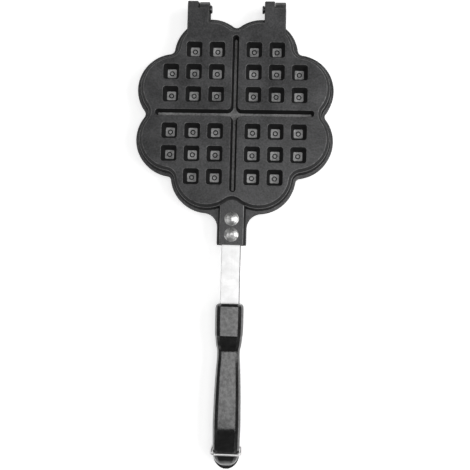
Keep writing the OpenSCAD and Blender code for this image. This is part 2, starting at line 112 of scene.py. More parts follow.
class CastingSizes(bpy.types.PropertyGroup):
    """Sizes of one casting. The two castings are alike."""

    depth: length("Depth", "Outer face to parting plane", 11.5)
    gap: length("Parting gap", "Gap between the closed castings", 0.3)
    wall: length("Cooking wall", "Thickness of the cooking wall", 2.5)
    lobe_radius: length("Lobe radius", "Radius of each rim lobe", 32.5)
    lobe_distance: length("Lobe distance", "Centre of the plate to the centre of a lobe", 58.8)
    notch_radius: length("Notch radius", "Radius of the fillet between two lobes", 4.75)
    flange: length("Flange thickness", "Thickness of the flange round the rim", 3)
    flange_width: length("Flange width", "Width of the flange outside the wall", 2.4)
    crest_inset: length("Crest inset", "Rim to the crest of the shoulder", 3.9)
    crest_drop: length("Crest drop", "Outer face to the crest of the shoulder", 3.4)
    face_inset: length("Face inset", "Rim to the edge of the outer face", 6.8)
    land: length("Land", "Width of the sealing land", 4.6)
    stud_pitch: length("Stud pitch", "Distance between neighbouring studs", 20)
    first_stud: length("First stud", "Centre lines to the first row of studs", 16.2)
    pocket_mouth: length("Pocket mouth", "Half width of a pocket at its mouth", 6.95)
    pocket_floor: length("Pocket floor", "Half width of a pocket at its floor", 4)
    pocket_depth: length("Pocket depth", "Depth of the pockets and of the groove", 6.9)
    pocket_corner: length("Pocket corner", "Corner radius of a pocket at its mouth", 2.2)
    groove_mouth: length("Groove mouth", "Half width of the cross groove at its mouth", 2.8)
    groove_floor: length("Groove floor", "Half width of the cross groove at its floor", 1.25)
    groove_arm: length("Groove arm", "Length of each arm of the cross groove", 69.2)
    stud_root: length("Stud root", "Half width of a stud at its root", 8.1)
    stud_tip: length("Stud tip", "Half width of a stud at its tip", 5.9)
    stud_short: length("Stud clearance", "Tip of a stud to the parting plane", 2.3)
    ridge_root: length("Ridge root", "Half width of the dividing ridge at its root", 4.4)
    ridge_tip: length("Ridge tip", "Half width of the dividing ridge at its tip", 2.6)
    ridge_short: length("Ridge clearance", "Tip of the ridge to the parting plane", 0.4)
    hinge_y: length("Hinge distance", "Centre of the plate to the hinge axis", 97.2)
    ear_in: length("Ear inside", "Centre line to the inner side of an ear", 24.6)
    ear_out: length("Ear outside", "Centre line to the outer side of an ear", 43.4)
    knuckle: length("Knuckle radius", "Radius of the hinge knuckles", 6.3)
    pin: length("Pin radius", "Radius of the hinge pins", 2.5)
    tang_end: length("Tang end", "Centre of the plate to the end of the tang", 114.7)
    tang_flange: length("Tang flange", "Half width of the tang's flange", 12.9)
    tang_foot: length("Tang foot", "Half width of the tang's raised part at its foot", 12.2)
    tang_top: length("Tang top", "Half width of the tang's raised part at its top", 10.2)
    tang_fillet: length("Tang fillet", "Radius of the fillets between tang and rim", 13.1)


class HandleSizes(bpy.types.PropertyGroup):
    """Sizes of the straps, rivets, grips, screws and the wire bail."""

    strap_start: length("Strap start", "Centre of the plate to the start of the strap", 82.4)
    strap_width: length("Strap width", "Width of the strap", 16.4)
    strap_thick: length("Strap thickness", "Thickness of the strap", 2)
    strap_top: length("Strap top", "Parting plane to the outer face of the strap", 5.35)
    tail_width: length("Tail width", "Width of the strap inside the grip", 12)
    rivet_one: length("First rivet", "Centre of the plate to the inner rivet", 92.1)
    rivet_two: length("Second rivet", "Centre of the plate to the outer rivet", 105.9)
    rivet_head: length("Rivet head radius", "Radius of the domed rivet heads", 6.1)
    rivet_dome: length("Rivet head height", "Height of the domed rivet heads", 2.4)
    grip_start: length("Grip start", "Centre of the plate to the front of the grips", 165.2)
    grip_end: length("Grip end", "Centre of the plate to the end of the lower grip", 306.5)
    grip_lift: length("Grip lift", "Parting plane to the inner face of a grip", 0.5)
    head_half: length("Head half width", "Half width of the grip's head", 12.2)
    head_length: length("Head length", "Length of the grip's head", 27.4)
    head_height: length("Head height", "Height of the grip's head", 11.2)
    waist_half: length("Waist half width", "Half width of the grip's waist", 9.7)
    waist_at: length("Waist place", "Front of the grip to its waist", 42.6)
    waist_height: length("Waist height", "Height of the grip at its waist", 8.3)
    palm_half: length("Palm half width", "Half width of the grip's palm swell", 11.8)
    palm_at: length("Palm place", "Front of the grip to its widest palm", 104)
    palm_height: length("Palm height", "Height of the grip at its palm swell", 10.9)
    grip_round: length("Grip round", "Length of the lower grip's rounded end", 13)
    screw_front: length("Front screw", "Front of the grip to the first screw", 18)
    screw_rear: length("Rear screw", "Front of the grip to the second screw", 76)
    screw: length("Screw radius", "Radius of the screws' shanks", 1.5)
    screw_head: length("Screw head radius", "Radius of the screws' heads", 2.9)
    screw_head_height: length("Screw head height", "Height of the screws' heads", 1.2)
    insert: length("Insert radius", "Outer radius of the threaded inserts", 2.6)
    insert_length: length("Insert length", "Length of the threaded inserts", 3)
    wire: length("Wire radius", "Radius of the bail's wire", 1)
    bail_y: length("Bail pivot", "Centre of the plate to the bail's pivot", 289.5)
    bail_drop: length("Bail depth", "Hinge plane to the bail's pivot", 6)
    bail_half: length("Bail half width", "Centre line to a leg of the bail", 12.9)
    bail_lean: length("Bail lean", "Backward offset of the bail's crossbar", 1.5)
    bail_pin: length("Bail pin", "Length of the wire's ends in the grip", 4.2)


class Finishes(bpy.types.PropertyGroup):
    """Colours of the finishes."""

    coat: colour("Coat", "Non-stick coat on the outer faces", (0.05, 0.05, 0.0515))
    coat_worn: colour("Worn coat", "Paler patches of the coat", (0.069, 0.069, 0.071))
    # painted highlight: a pale colour on the shoulder's crest and on rounded edges in place of their gloss
    painted_highlight: colour("Painted highlight", "Coat painted pale as a highlight on crests and edges", (0.26, 0.26, 0.26))
    # painted shade: a near-black colour given to steep walls and hollows in place of their shade
    painted_shade: colour("Coat in shade", "Coat on the walls of pockets and grooves", (0.005, 0.005, 0.0053))
    coat_groove: colour("Groove floor", "Coat on the floor of the cross groove", (0.22, 0.22, 0.22))
    coat_floor: colour("Pocket floor", "Coat on the floors of the pockets", (0.38, 0.38, 0.38))
    steel: colour("Strap steel", "Polished steel of the straps", (0.86, 0.86, 0.86))
    rivet: colour("Rivet steel", "Hammered steel of the rivets", (0.8, 0.8, 0.79))
    rivet_dull: colour("Dull rivet steel", "Steel in the dents of the rivets", (0.36, 0.36, 0.36))
    pin: colour("Pin steel", "Blackened steel of the hinge pins", (0.14, 0.14, 0.145))
    phenolic: colour("Phenolic", "Black moulded phenolic of the grips", (0.004, 0.004, 0.004))
    wire: colour("Wire steel", "Bright drawn wire of the bail", (0.78, 0.77, 0.77))
    screw: colour("Screw steel", "Plated steel of the grip screws", (0.52, 0.52, 0.5))
    brass: colour("Brass", "Brass of the threaded inserts", (0.6, 0.42, 0.16))


def clear():
    """Leaves edit mode, with nothing selected."""
    if bpy.context.mode != "OBJECT":
        bpy.ops.object.mode_set(mode="OBJECT")
    bpy.ops.object.select_all(action="DESELECT")


def pick(piece):
    """Selects one piece alone."""
    clear()
    piece.select_set(True)
    bpy.context.view_layer.objects.active = piece


def edit(piece):
    """Opens a piece in edit mode with all of it selected."""
    pick(piece)
    bpy.ops.object.mode_set(mode="EDIT")
    bpy.ops.mesh.select_mode(type="VERT")
    bpy.ops.mesh.select_all(action="SELECT")


def outward():
    """Turns the faces of the piece in edit mode outwards and leaves edit mode."""
    bpy.ops.mesh.select_all(action="SELECT")
    bpy.ops.mesh.normals_make_consistent(inside=False)
    clear()


def added(name):
    """The primitive just added, named and with its place in its mesh."""
    piece = bpy.context.object
    piece.name = name
    bpy.ops.object.transform_apply(location=True, rotation=True, scale=True)
    return piece


def loft(name, rings):
    """A closed skin through equal rings: a grid rolled up on them, with its ends filled."""
    around, along = len(rings[0]), len(rings) - 1
    clear()
    bpy.ops.mesh.primitive_grid_add(x_subdivisions=around, y_subdivisions=along, size=1)
    skin = added(name)
    for point in skin.data.vertices:
        column = round((point.co.x + 0.5) * around) % around
        row = round((point.co.y + 0.5) * along)
        point.co = rings[row][column]
    edit(skin)
    bpy.ops.mesh.remove_doubles(threshold=1e-6)
    bpy.ops.mesh.fill_holes(sides=0)
    outward()
    return skin


def block(name, low, high, soft=0.0, steps=2):
    """A box between two corners, with rounded edges."""
    low, high = Vector(low), Vector(high)
    clear()
    bpy.ops.mesh.primitive_cube_add(size=1, location=(low + high) / 2, scale=high - low)
    piece = added(name)
    if soft:
        edit(piece)
        bpy.ops.mesh.bevel(offset=soft, segments=steps, affect="EDGES")
        clear()
    return piece


def turned(name, line, place=Matrix(), sides=48):
    """A round solid: a disc extruded and scaled along a line of (distance, radius)."""
    clear()
    bpy.ops.mesh.primitive_circle_add(
        vertices=sides, radius=line[0][1], fill_type="NGON", location=(0, 0, line[0][0]))
    piece = added(name)
    edit(piece)
    for (start, before), (end, after) in zip(line, line[1:]):
        bpy.ops.mesh.extrude_region_move(TRANSFORM_OT_translate={"value": (0, 0, end - start)})
        share = after / before
        bpy.ops.transform.resize(value=(share, share, 1), center_override=(0, 0, end))
    outward()
    piece.data.transform(place)
    return piece


def carve(piece, tool, how="DIFFERENCE"):
    """Cuts a tool out of a piece or joins it on, and removes the tool."""
    pick(piece)
    change = piece.modifiers.new("carve", "BOOLEAN")
    change.operation = how
    change.solver = "MANIFOLD"
    change.object = tool
    faces = len(piece.data.polygons)
    bpy.ops.object.modifier_apply(modifier=change.name)
    if len(piece.data.polygons) == faces:
        raise RuntimeError(f"{tool.name} changed nothing on {piece.name}")
    bpy.data.objects.remove(tool)
    return piece


def join_on(piece, *tools):
    """Joins solid tools on to a piece."""
    for tool in tools:
        carve(piece, tool, "UNION")
    return piece


def together(pieces):
    """One object from several."""
    clear()
    for piece in pieces:
        piece.select_set(True)
    bpy.context.view_layer.objects.active = pieces[0]
    bpy.ops.object.join()
    return bpy.context.object


def copied(piece, name, place):
    """A copy of a piece with its own mesh, moved by a matrix."""
    twin = piece.copy()
    twin.data = piece.data.copy()
    twin.name = name
    twin.data.transform(place)
    bpy.context.scene.collection.objects.link(twin)
    return twin


def soften(piece, angle=32):
    """Smooth shading below an angle, with flat faces kept flat."""
    pick(piece)
    bpy.ops.object.shade_smooth_by_angle(angle=math.radians(angle))
    change = piece.modifiers.new("flat faces", "WEIGHTED_NORMAL")
    change.mode = "FACE_AREA"
    change.keep_sharp = True
    bpy.ops.object.modifier_apply(modifier=change.name)
    return piece


def adopt(piece, name, body, slot, finish, *nodes):
    """Names a finished piece, finishes it and puts it in place of its CAD nodes."""
    piece.name = name
    piece.data.name = name
    piece.data.materials.clear()
    piece.data.materials.append(finish)
    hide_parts(*nodes)
    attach(piece, body)
    return piece


def rounded(corners, steps=4):
    """Corners (u, v, radius) as a line whose corners are arcs. A radius of zero keeps a corner."""
    line = []
    for i, (u, v, radius) in enumerate(corners):
        here = Vector((u, v))
        if radius <= 0:
            line.append(here)
            continue
        before = Vector(corners[i - 1][:2])
        after = Vector(corners[(i + 1) % len(corners)][:2])
        back, ahead = (before - here).normalized(), (after - here).normalized()
        half = back.angle(ahead) / 2
        middle = here + (back + ahead).normalized() * radius / math.sin(half)
        start = here + back * radius / math.tan(half) - middle
        end = here + ahead * radius / math.tan(half) - middle
        turn = math.pi - 2 * half
        for k in range(steps + 1):
            share = k / steps
            line.append(middle + (start * math.sin((1 - share) * turn)
                                  + end * math.sin(share * turn)) / math.sin(turn))
    return line


def lobed_ring(c, inset, height, lobe_steps=32, notch_steps=8):
    """The lobed outline of a casting, moved inwards by an inset."""
    reach, radius, notch = c.lobe_distance, c.lobe_radius, c.notch_radius
    ahead, beside = math.cos(LOBE_TURN), math.sin(LOBE_TURN)
    notch_reach = reach * ahead + math.sqrt((radius + notch) ** 2 - (reach * beside) ** 2)
    lobe_half = math.atan2(notch_reach * beside, notch_reach * ahead - reach)
    turn = 2 * (LOBE_TURN - lobe_half)
    arcs = []
    for k in range(8):
        middle = LOBE_TURN * (2 * k + 1)
        arcs += [(reach, middle, radius - inset, middle + lobe_half * (2 * i / lobe_steps - 1))
                 for i in range(lobe_steps + 1)]
        arcs += [(notch_reach, middle + LOBE_TURN, notch + inset,
                  middle + lobe_half + math.pi + turn * i / notch_steps) for i in range(1, notch_steps)]
    return [Vector((far * math.cos(way) + round_by * math.cos(a),
                    far * math.sin(way) + round_by * math.sin(a), height))
            for far, way, round_by, a in arcs]


def square_ring(half, corner, height):
    """A square with rounded corners."""
    sides = [(half, half), (-half, half), (-half, -half), (half, -half)]
    line = rounded([(x, y, corner) for x, y in sides], 5)
    return [Vector((p.x, p.y, height)) for p in line]


def cross_ring(half, reach, corner, height):
    """A cross with rounded arm ends and rounded inner corners."""
    end = 0.9 * half
    quarter = [(reach, -half, end), (reach, half, end), (half, half, corner)]
    corners = []
    for turn in range(4):
        c, s = round(math.cos(turn * math.pi / 2)), round(math.sin(turn * math.pi / 2))
        corners += [(c * x - s * y, s * x + c * y, r) for x, y, r in quarter]
    return [Vector((p.x, p.y, height)) for p in rounded(corners, 6)]


def stud_centres(c):
    """Centres of the studs: three rows on each side of both centre lines, without the corners."""
    rows = [side * (c.first_stud + k * c.stud_pitch) for side in (-1, 1) for k in range(3)]
    last = c.first_stud + 2 * c.stud_pitch - MM
    return [(x, y) for x in rows for y in rows if abs(x) < last or abs(y) < last]


def at_studs(c, tool):
    """Copies of a tool at all the studs, as one object."""
    tools = [copied(tool, tool.name, Matrix.Translation((x, y, 0))) for x, y in stud_centres(c)]
    bpy.data.objects.remove(tool)
    return together(tools)


def pocket_tool(c):
    """The space of one pocket, with its rounded mouth and the round mark on its floor."""
    floor, top = c.depth - c.pocket_depth, c.depth + SKIN
    mark_floor, ledge = floor - 0.45 * MM, c.pocket_mouth + 1.2 * MM
    tight, mark_reach = 1.3 * MM, 2.4 * MM
    slope = (c.pocket_mouth - c.pocket_floor) / c.pocket_depth
    line = rounded([
        (0.05 * MM, floor, 0), (1.35 * MM, floor, 0.12 * MM),
        (1.45 * MM, mark_floor, 0.1 * MM), (2.15 * MM, mark_floor, 0.1 * MM),
        (2.3 * MM, floor, 0.12 * MM), (c.pocket_floor, floor, 0.7 * MM),
        (c.pocket_mouth + slope * SKIN, top, 0.75 * MM), (ledge, top, 0)], 3)
    line.append(Vector((ledge, c.depth + MM)))
    rings = []
    for p in line:
        share = max(0, (p.x - c.pocket_floor) / (c.pocket_mouth - c.pocket_floor))
        corner = min(p.x * 0.45, tight + share * (c.pocket_corner - tight))
        if p.x < mark_reach:
            corner = p.x * 0.98
        rings.append(square_ring(p.x, corner, p.y))
    return loft("pocket", rings)


def groove_tool(c):
    """The space of the cross groove, which opens to a rounded star where its arms meet."""
    floor, top, ledge = c.depth - c.pocket_depth, c.depth + SKIN, c.groove_mouth + 1.1 * MM
    line = rounded([
        (0.2 * MM, floor, 0), (c.groove_floor, floor, 0.5 * MM),
        (c.groove_mouth, top, 0.7 * MM), (ledge, top, 0)], 4)
    line.append(Vector((ledge, c.depth + MM)))
    star = c.groove_mouth + 3.6 * MM
    reach = c.groove_arm - c.groove_mouth
    return loft("groove", [cross_ring(p.x, reach + p.x, star - p.x, p.y) for p in line])


def cooking_tool(c):
    """The cooking space of one casting, around its studs and its dividing ridge."""
    ceiling, draft = c.depth - c.wall, 2 / 9
    top, past = ceiling + SKIN, ceiling + MM
    line = rounded([
        (c.land - draft * MM, -MM, 0), (c.land + draft * ceiling, ceiling, 1.5 * MM),
        (c.land + 5 * MM, ceiling, 0)], 4)
    space = loft("cooking_space", [lobed_ring(c, p.x, p.y) for p in line])
    ledge = c.stud_root + 1.4 * MM
    line = rounded([
        (0.3 * MM, c.stud_short, 0), (c.stud_tip, c.stud_short, 1.1 * MM),
        (c.stud_root, top, 1.1 * MM), (ledge, top, 0)], 4)
    line.append(Vector((ledge, past)))
    stud = loft("stud", [square_ring(p.x, min(p.x * 0.5, 2.6 * MM), p.y) for p in line])
    carve(space, at_studs(c, stud))
    ledge = c.ridge_root + 1.3 * MM
    line = rounded([
        (0.3 * MM, c.ridge_short, 0), (c.ridge_tip, c.ridge_short, 0.9 * MM),
        (c.ridge_root, top, MM), (ledge, top, 0)], 4)
    line.append(Vector((ledge, past)))
    reach, star = c.lobe_distance + c.lobe_radius, c.ridge_tip + 4.2 * MM
    return carve(space, loft("ridge", [cross_ring(p.x, reach, star - p.x, p.y) for p in line]))


def rod_x(name, start, end, y, z, radius, soft=0.0):
    """A round bar along X."""
    line = [(start, radius), (end, radius)]
    if soft:
        line = [(start, radius - soft), (start + 0.3 * soft, radius - 0.3 * soft),
                (start + soft, radius), (end - soft, radius),
                (end - 0.3 * soft, radius - 0.3 * soft), (end, radius - soft)]
    place = Matrix.Translation((0, y, z)) @ Matrix.Rotation(math.pi / 2, 4, "Y")
    return turned(name, line, place)


def ear_split(c):
    """Where the knuckles of the two castings meet, on each ear."""
    return (c.ear_in + c.ear_out) / 2 - 0.3 * MM


def ears(c):
    """The hinge ears: a full block with its knuckle, and a short block beside it, on each side."""
    top, split = c.depth - 0.03 * MM, ear_split(c)
    pieces = []
    for start, end in ((-c.ear_out, -split - KNUCKLE_SIDE_GAP), (c.ear_in, split - KNUCKLE_SIDE_GAP)):
        pieces.append(block("ear", (start, EAR_ROOT, SKIN), (end, c.hinge_y + EAR_LIP, top),
                            EDGE_ROUND, 3))
        pieces.append(rod_x("knuckle", start + SMALL_SKIN, end - SMALL_SKIN, c.hinge_y, -c.gap / 2,
                            c.knuckle, 0.6 * MM))
    reach = c.hinge_y - EAR_LIP - KNUCKLE_GAP
    for start, end in ((-c.ear_out, -c.ear_in), (c.ear_in, c.ear_out)):
        pieces.append(block("short_ear", (start + SKIN, EAR_ROOT, SKIN),
                            (end - SKIN, reach, top - SMALL_SKIN), EDGE_ROUND, 3))
    return pieces


def tang_flange(c):
    """The tang's flange, which runs into the two lobes beside it."""
    lobe = c.lobe_distance * Vector((math.sin(LOBE_TURN), -math.cos(LOBE_TURN)))
    centre_x = c.tang_flange + c.tang_fillet
    centre = Vector((centre_x, lobe.y - math.sqrt(
        (c.lobe_radius + c.tang_fillet) ** 2 - (centre_x - lobe.x) ** 2)))
    run_out = math.atan2(lobe.y - centre.y, lobe.x - centre.x)
    side = [(lobe.x, -TANG_ROOT)]
    for k in range(21):
        a = run_out + (math.pi - run_out) * k / 20
        side.append((centre.x + c.tang_fillet * math.cos(a), centre.y + c.tang_fillet * math.sin(a)))
    for out, back in ((0, 1.2), (0.4, 0.4), (1.2, 0)):
        side.append((c.tang_flange - out * MM, back * MM - c.tang_end))
    outline = side + [(-x, y) for x, y in reversed(side)]
    top, end_zone = c.flange - 0.03 * MM, 2 * MM - c.tang_end
    rings = []
    for inset, height in ((0.3 * MM, SKIN), (0, 0.3 * MM), (0, top - 0.5 * MM),
                          (0.15 * MM, top - 0.15 * MM), (0.5 * MM, top)):
        rings.append([Vector((x - math.copysign(inset, x), y + (inset if y < end_zone else 0), height))
                      for x, y in outline])
    return loft("tang_flange", rings)


def tang_box(c):
    """The raised part of the tang, drafted, with rounded upper edges."""
    start, end = -TANG_ROOT, -c.tang_end
    low, high = 0.5 * MM, c.depth - c.crest_drop
    rings = []
    for y, drop in ((start, 0), (end + 1.0 * MM, 0), (end + 0.35 * MM, 0.12 * MM),
                    (end + 0.05 * MM, 0.45 * MM), (end, 0.9 * MM)):
        section = rounded([(-c.tang_foot - 0.6 * MM, low, 0), (c.tang_foot + 0.6 * MM, low, 0),
                           (c.tang_top - 0.3 * drop, high - drop, EDGE_ROUND),
                           (-c.tang_top + 0.3 * drop, high - drop, EDGE_ROUND)], 4)
        rings.append([Vector((p.x, y, p.y)) for p in section])
    return loft("tang_box", rings)


def tang_seam(c):
    """The narrow valley where the tang's top meets the shoulder of the two lobes beside it."""
    low, high = c.depth - c.crest_drop - 1.5 * MM, c.depth + MM
    band = loft("seam", [lobed_ring(c, c.crest_inset - 0.3 * MM, z) for z in (low, high)])
    inner = c.crest_inset + 1.5 * MM
    carve(band, loft("core", [lobed_ring(c, inner, z) for z in (low - MM, high + MM)]))
    half, reach = c.tang_top + 0.7 * MM, TANG_ROOT + 20 * MM
    return carve(band, block("zone", (-half, -reach, 0), (half, -TANG_ROOT, 2 * c.depth)), "INTERSECT")


def build_casting(c):
    """One casting, its parting plane at zero and its outer face up."""
    crest, inwards = c.depth - c.crest_drop, 3 * MM
    line = rounded([
        (inwards, 0, 0), (0, 0, 0.3 * MM), (0, c.flange, 0.6 * MM), (c.flange_width, c.flange, 0.7 * MM),
        (c.crest_inset, crest, 0.8 * MM), (c.face_inset, c.depth, 1.4 * MM),
        (c.face_inset + inwards, c.depth, 0)], 4)
    body = loft("casting", [lobed_ring(c, p.x, p.y) for p in line])
    join_on(body, tang_flange(c), tang_box(c), *ears(c))
    carve(body, tang_seam(c))
    split = ear_split(c)
    room, bore = c.knuckle + KNUCKLE_GAP, c.pin + PIN_FIT
    for name, start, end, radius in (
            ("knuckle_room", -split - KNUCKLE_SIDE_GAP, -c.ear_in + MM, room),
            ("pin_bore", -c.ear_out - MM, -c.ear_in + MM, bore),
            ("knuckle_room", split - KNUCKLE_SIDE_GAP, c.ear_out + MM, room),
            ("pin_bore", c.ear_in - MM, c.ear_out + MM, bore)):
        carve(body, rod_x(name, start, end, c.hinge_y, -c.gap / 2, radius))
    h = bpy.context.scene.waffle_handle
    half = h.strap_width / 2 + STRAP_FIT
    carve(body, block("strap_room", (-half, -c.tang_end - MM, -MM),
                      (half, -h.strap_start + 0.3 * MM, h.strap_top + STRAP_FIT / 2), 0.3 * MM))
    carve(body, at_studs(c, pocket_tool(c)))
    carve(body, groove_tool(c))
    carve(body, cooking_tool(c))
    return soften(body)


def upper_place(c):
    """Where a piece drawn on the parting plane sits in the upper half."""
    return Matrix.Translation((0, 0, HINGE_Z + c.gap / 2))


def lower_place(c):
    """Where the same piece sits in the lower half, turned over."""
    return Matrix.Translation((0, 0, HINGE_Z - c.gap / 2)) @ Matrix.Rotation(math.pi, 4, "Y")


def at_length(y):
    """A move from the plate's centre along the grips."""
    return Matrix.Translation((0, -y, 0))


def screw_places(h):
    """The plate's centre to the front screw and to the rear screw of a grip."""
    return h.grip_start + h.screw_front, h.grip_start + h.screw_rear


def bail_height(c, h):
    """The bail's pivot to the middle of its crossbar, straight up, when it is closed."""
    return h.bail_drop + c.gap / 2 + h.waist_height + END_RISE + BAIL_CLEAR + h.wire


def bail_tip(h):
    """The centre line to the tips of the bail's ends."""
    return h.bail_half - h.wire - BEND_INSIDE - h.bail_pin


def both_halves(c, piece, name, slot, finish, node):
    """Puts a piece in the upper half and a copy of it, turned over, in the lower half."""
    lower = copied(piece, name, lower_place(c))
    piece.data.transform(upper_place(c))
    adopt(piece, "upper_" + name, "lid", slot, finish, "upper_" + node)
    adopt(lower, "lower_" + name, "base", slot, finish, "lower_" + node)


def fill(tree, made, inputs):
    """Sets or links the inputs of a node."""
    for key, value in inputs.items():
        if isinstance(value, bpy.types.NodeSocket):
            tree.links.new(value, made.inputs[key])
        else:
            made.inputs[key].default_value = value
    return made


def node(tree, kind, inputs=None, **settings):
    """A node with its settings, and its inputs set or linked."""
    made = tree.nodes.new(kind)
    for key, value in settings.items():
        setattr(made, key, value)
    return fill(tree, made, inputs or {})


def maths(tree, operation, *values):
    """One step of arithmetic."""
    return node(tree, "ShaderNodeMath", dict(enumerate(values)), operation=operation).outputs[0]


def part_of(tree, vector, axis):
    """One part of a vector."""
    return node(tree, "ShaderNodeSeparateXYZ", {0: vector}).outputs[axis]


def toned(tree, tint, tone):
    """A colour made lighter or darker by a tone near one."""
    return node(tree, "ShaderNodeVectorMath", {0: tint, "Scale": tone}, operation="SCALE").outputs[0]


def between(tree, value, low, high, start=0.0, end=1.0):
    """A value carried smoothly from one range to another."""
    return node(tree, "ShaderNodeMapRange",
                {"Value": value, "From Min": low, "From Max": high, "To Min": start, "To Max": end},
                interpolation_type="SMOOTHSTEP").outputs["Result"]


def spread(tree, share, low, high):
    """A share from zero to one, carried evenly to a range."""
    return node(tree, "ShaderNodeMapRange",
                {"Value": share, "To Min": low, "To Max": high}).outputs["Result"]


def window(tree, value, rise, fall):
    """One between a rise and a fall, and zero before and after them."""
    return maths(tree, "MULTIPLY", between(tree, value, *rise), between(tree, value, fall[1], fall[0]))


def blend(tree, share, first, second):
    """Two colours mixed by a share."""
    first, second = (value if isinstance(value, bpy.types.NodeSocket) else (*value, 1.0)
                     for value in (first, second))
    return node(tree, "ShaderNodeMix", {"Factor": share, 6: first, 7: second},
                data_type="RGBA").outputs[2]


def noise(tree, vector, scale, detail=3.0, roughness=0.55, distortion=0.0):
    """Noise on a vector."""
    return node(tree, "ShaderNodeTexNoise", {
        "Vector": vector, "Scale": scale, "Detail": detail, "Roughness": roughness,
        "Distortion": distortion}).outputs["Fac"]


def new_group(name, inputs, outputs):
    """An empty shader node group with its sockets."""
    tree = bpy.data.node_groups.new(name, "ShaderNodeTree")
    for label, kind, value in inputs:
        socket = tree.interface.new_socket(label, in_out="INPUT", socket_type=kind)
        if value is not None:
            socket.default_value = value
    for label, kind in outputs:
        tree.interface.new_socket(label, in_out="OUTPUT", socket_type=kind)
    return tree, tree.nodes.new("NodeGroupInput"), tree.nodes.new("NodeGroupOutput")


def grain_group():
    """Fine cast or moulded grain: a tone near one, a height, and a slow mottle."""
    tree, given, out = new_group(
        "Surface grain",
        [("Vector", "NodeSocketVector", None), ("Grain Scale", "NodeSocketFloat", 1500.0),
         ("Mottle Scale", "NodeSocketFloat", 40.0), ("Contrast", "NodeSocketFloat", 0.2)],
        [("Tone", "NodeSocketFloat"), ("Height", "NodeSocketFloat"), ("Mottle", "NodeSocketFloat")])
    where = given.outputs["Vector"]
    fine = noise(tree, where, given.outputs["Grain Scale"], 2.0)
    slow = noise(tree, where, given.outputs["Mottle Scale"], 4.0, 0.6)
    mottle = between(tree, slow, 0.32, 0.68)
    swing = maths(tree, "ADD", maths(tree, "SUBTRACT", fine, 0.5), maths(tree, "SUBTRACT", slow, 0.5))
    tone = maths(tree, "MULTIPLY_ADD", swing, given.outputs["Contrast"], 1.0)
    fill(tree, out, {"Tone": tone, "Height": fine, "Mottle": mottle})
    return tree


def scratch_group():
    """Fine lines along one axis, as on drawn or brushed steel: a tone and a height."""
    tree, given, out = new_group(
        "Drawn lines",
        [("Vector", "NodeSocketVector", None), ("Stretch", "NodeSocketVector", (900.0, 12.0, 900.0)),
         ("Contrast", "NodeSocketFloat", 0.15)],
        [("Tone", "NodeSocketFloat"), ("Height", "NodeSocketFloat")])
    drawn = node(tree, "ShaderNodeVectorMath", {0: given.outputs["Vector"], 1: given.outputs["Stretch"]},
                 operation="MULTIPLY").outputs[0]
    lines = noise(tree, drawn, 1.0, 3.0, 0.6)
    swing = maths(tree, "SUBTRACT", lines, 0.5)
    tone = maths(tree, "MULTIPLY_ADD", swing, given.outputs["Contrast"], 1.0)
    fill(tree, out, {"Tone": tone, "Height": lines})
    return tree


def edge_group():
    """A mask of rounded edges between level faces and steep ones, broken up by noise, where highlights are
    painted.
    """
    tree, given, out = new_group(
        "Painted edge highlight mask",
        [("Vector", "NodeSocketVector", None), ("Normal", "NodeSocketVector", None),
         ("Breakup Scale", "NodeSocketFloat", 260.0)],
        [("Mask", "NodeSocketFloat")])
    level = maths(tree, "ABSOLUTE", part_of(tree, given.outputs["Normal"], "Z"))
    flecks = noise(tree, given.outputs["Vector"], given.outputs["Breakup Scale"], 4.0)
    broken = between(tree, flecks, 0.35, 0.6)
    mask = maths(tree, "MULTIPLY", window(tree, level, (0.72, 0.82), (0.92, 0.99)), broken)
    fill(tree, out, {"Mask": mask})
    return tree


def rim_group():
    """A mask of the zone outside the pockets, and one of the cross groove."""
    tree, given, out = new_group(
        "Rim zone", [("Vector", "NodeSocketVector", None)],
        [("Mask", "NodeSocketFloat"), ("Groove", "NodeSocketFloat")])
    across, along = (maths(tree, "ABSOLUTE", part_of(tree, given.outputs["Vector"], axis))
                     for axis in ("X", "Y"))
    far, near = maths(tree, "MAXIMUM", across, along), maths(tree, "MINIMUM", across, along)
    lobe = bpy.context.scene.waffle_casting.lobe_distance
    ahead = maths(tree, "SUBTRACT", far, lobe * math.cos(LOBE_TURN))
    beside = maths(tree, "SUBTRACT", near, lobe * math.sin(LOBE_TURN))
    square = maths(tree, "MULTIPLY_ADD", ahead, ahead, maths(tree, "MULTIPLY", beside, beside))
    away = maths(tree, "SQRT", square)
    off_lobe, off_centre, in_groove = (24.5 * MM, 25.5 * MM), (49 * MM, 50 * MM), (3 * MM, 2 * MM)
    mask = maths(tree, "MULTIPLY", between(tree, away, *off_lobe), between(tree, far, *off_centre))
    fill(tree, out, {"Mask": mask, "Groove": between(tree, near, *in_groove)})
    return tree


def finish_base(name):
    """A new material with its shader, ready for its pattern. Returns material, tree and shader."""
    made = bpy.data.materials.new(name)
    made.use_nodes = True
    tree = made.node_tree
    tree.nodes.clear()
    shader = tree.nodes.new("ShaderNodeBsdfPrincipled")
    out = tree.nodes.new("ShaderNodeOutputMaterial")
    tree.links.new(shader.outputs["BSDF"], out.inputs["Surface"])
    return made, tree, shader


def use_group(tree, group, inputs):
    """A group placed in a material with its values."""
    return node(tree, "ShaderNodeGroup", inputs, node_tree=group)


def grained(tree, groups, where, scale, mottle, contrast):
    """The grain group with its two scales and its contrast."""
    return use_group(tree, groups["grain"], {
        "Vector": where, "Grain Scale": scale, "Mottle Scale": mottle, "Contrast": contrast})


def bump(tree, height, strength, distance):
    """A normal raised by a height."""
    return node(tree, "ShaderNodeBump", {
        "Height": height, "Strength": strength, "Distance": distance}).outputs["Normal"]


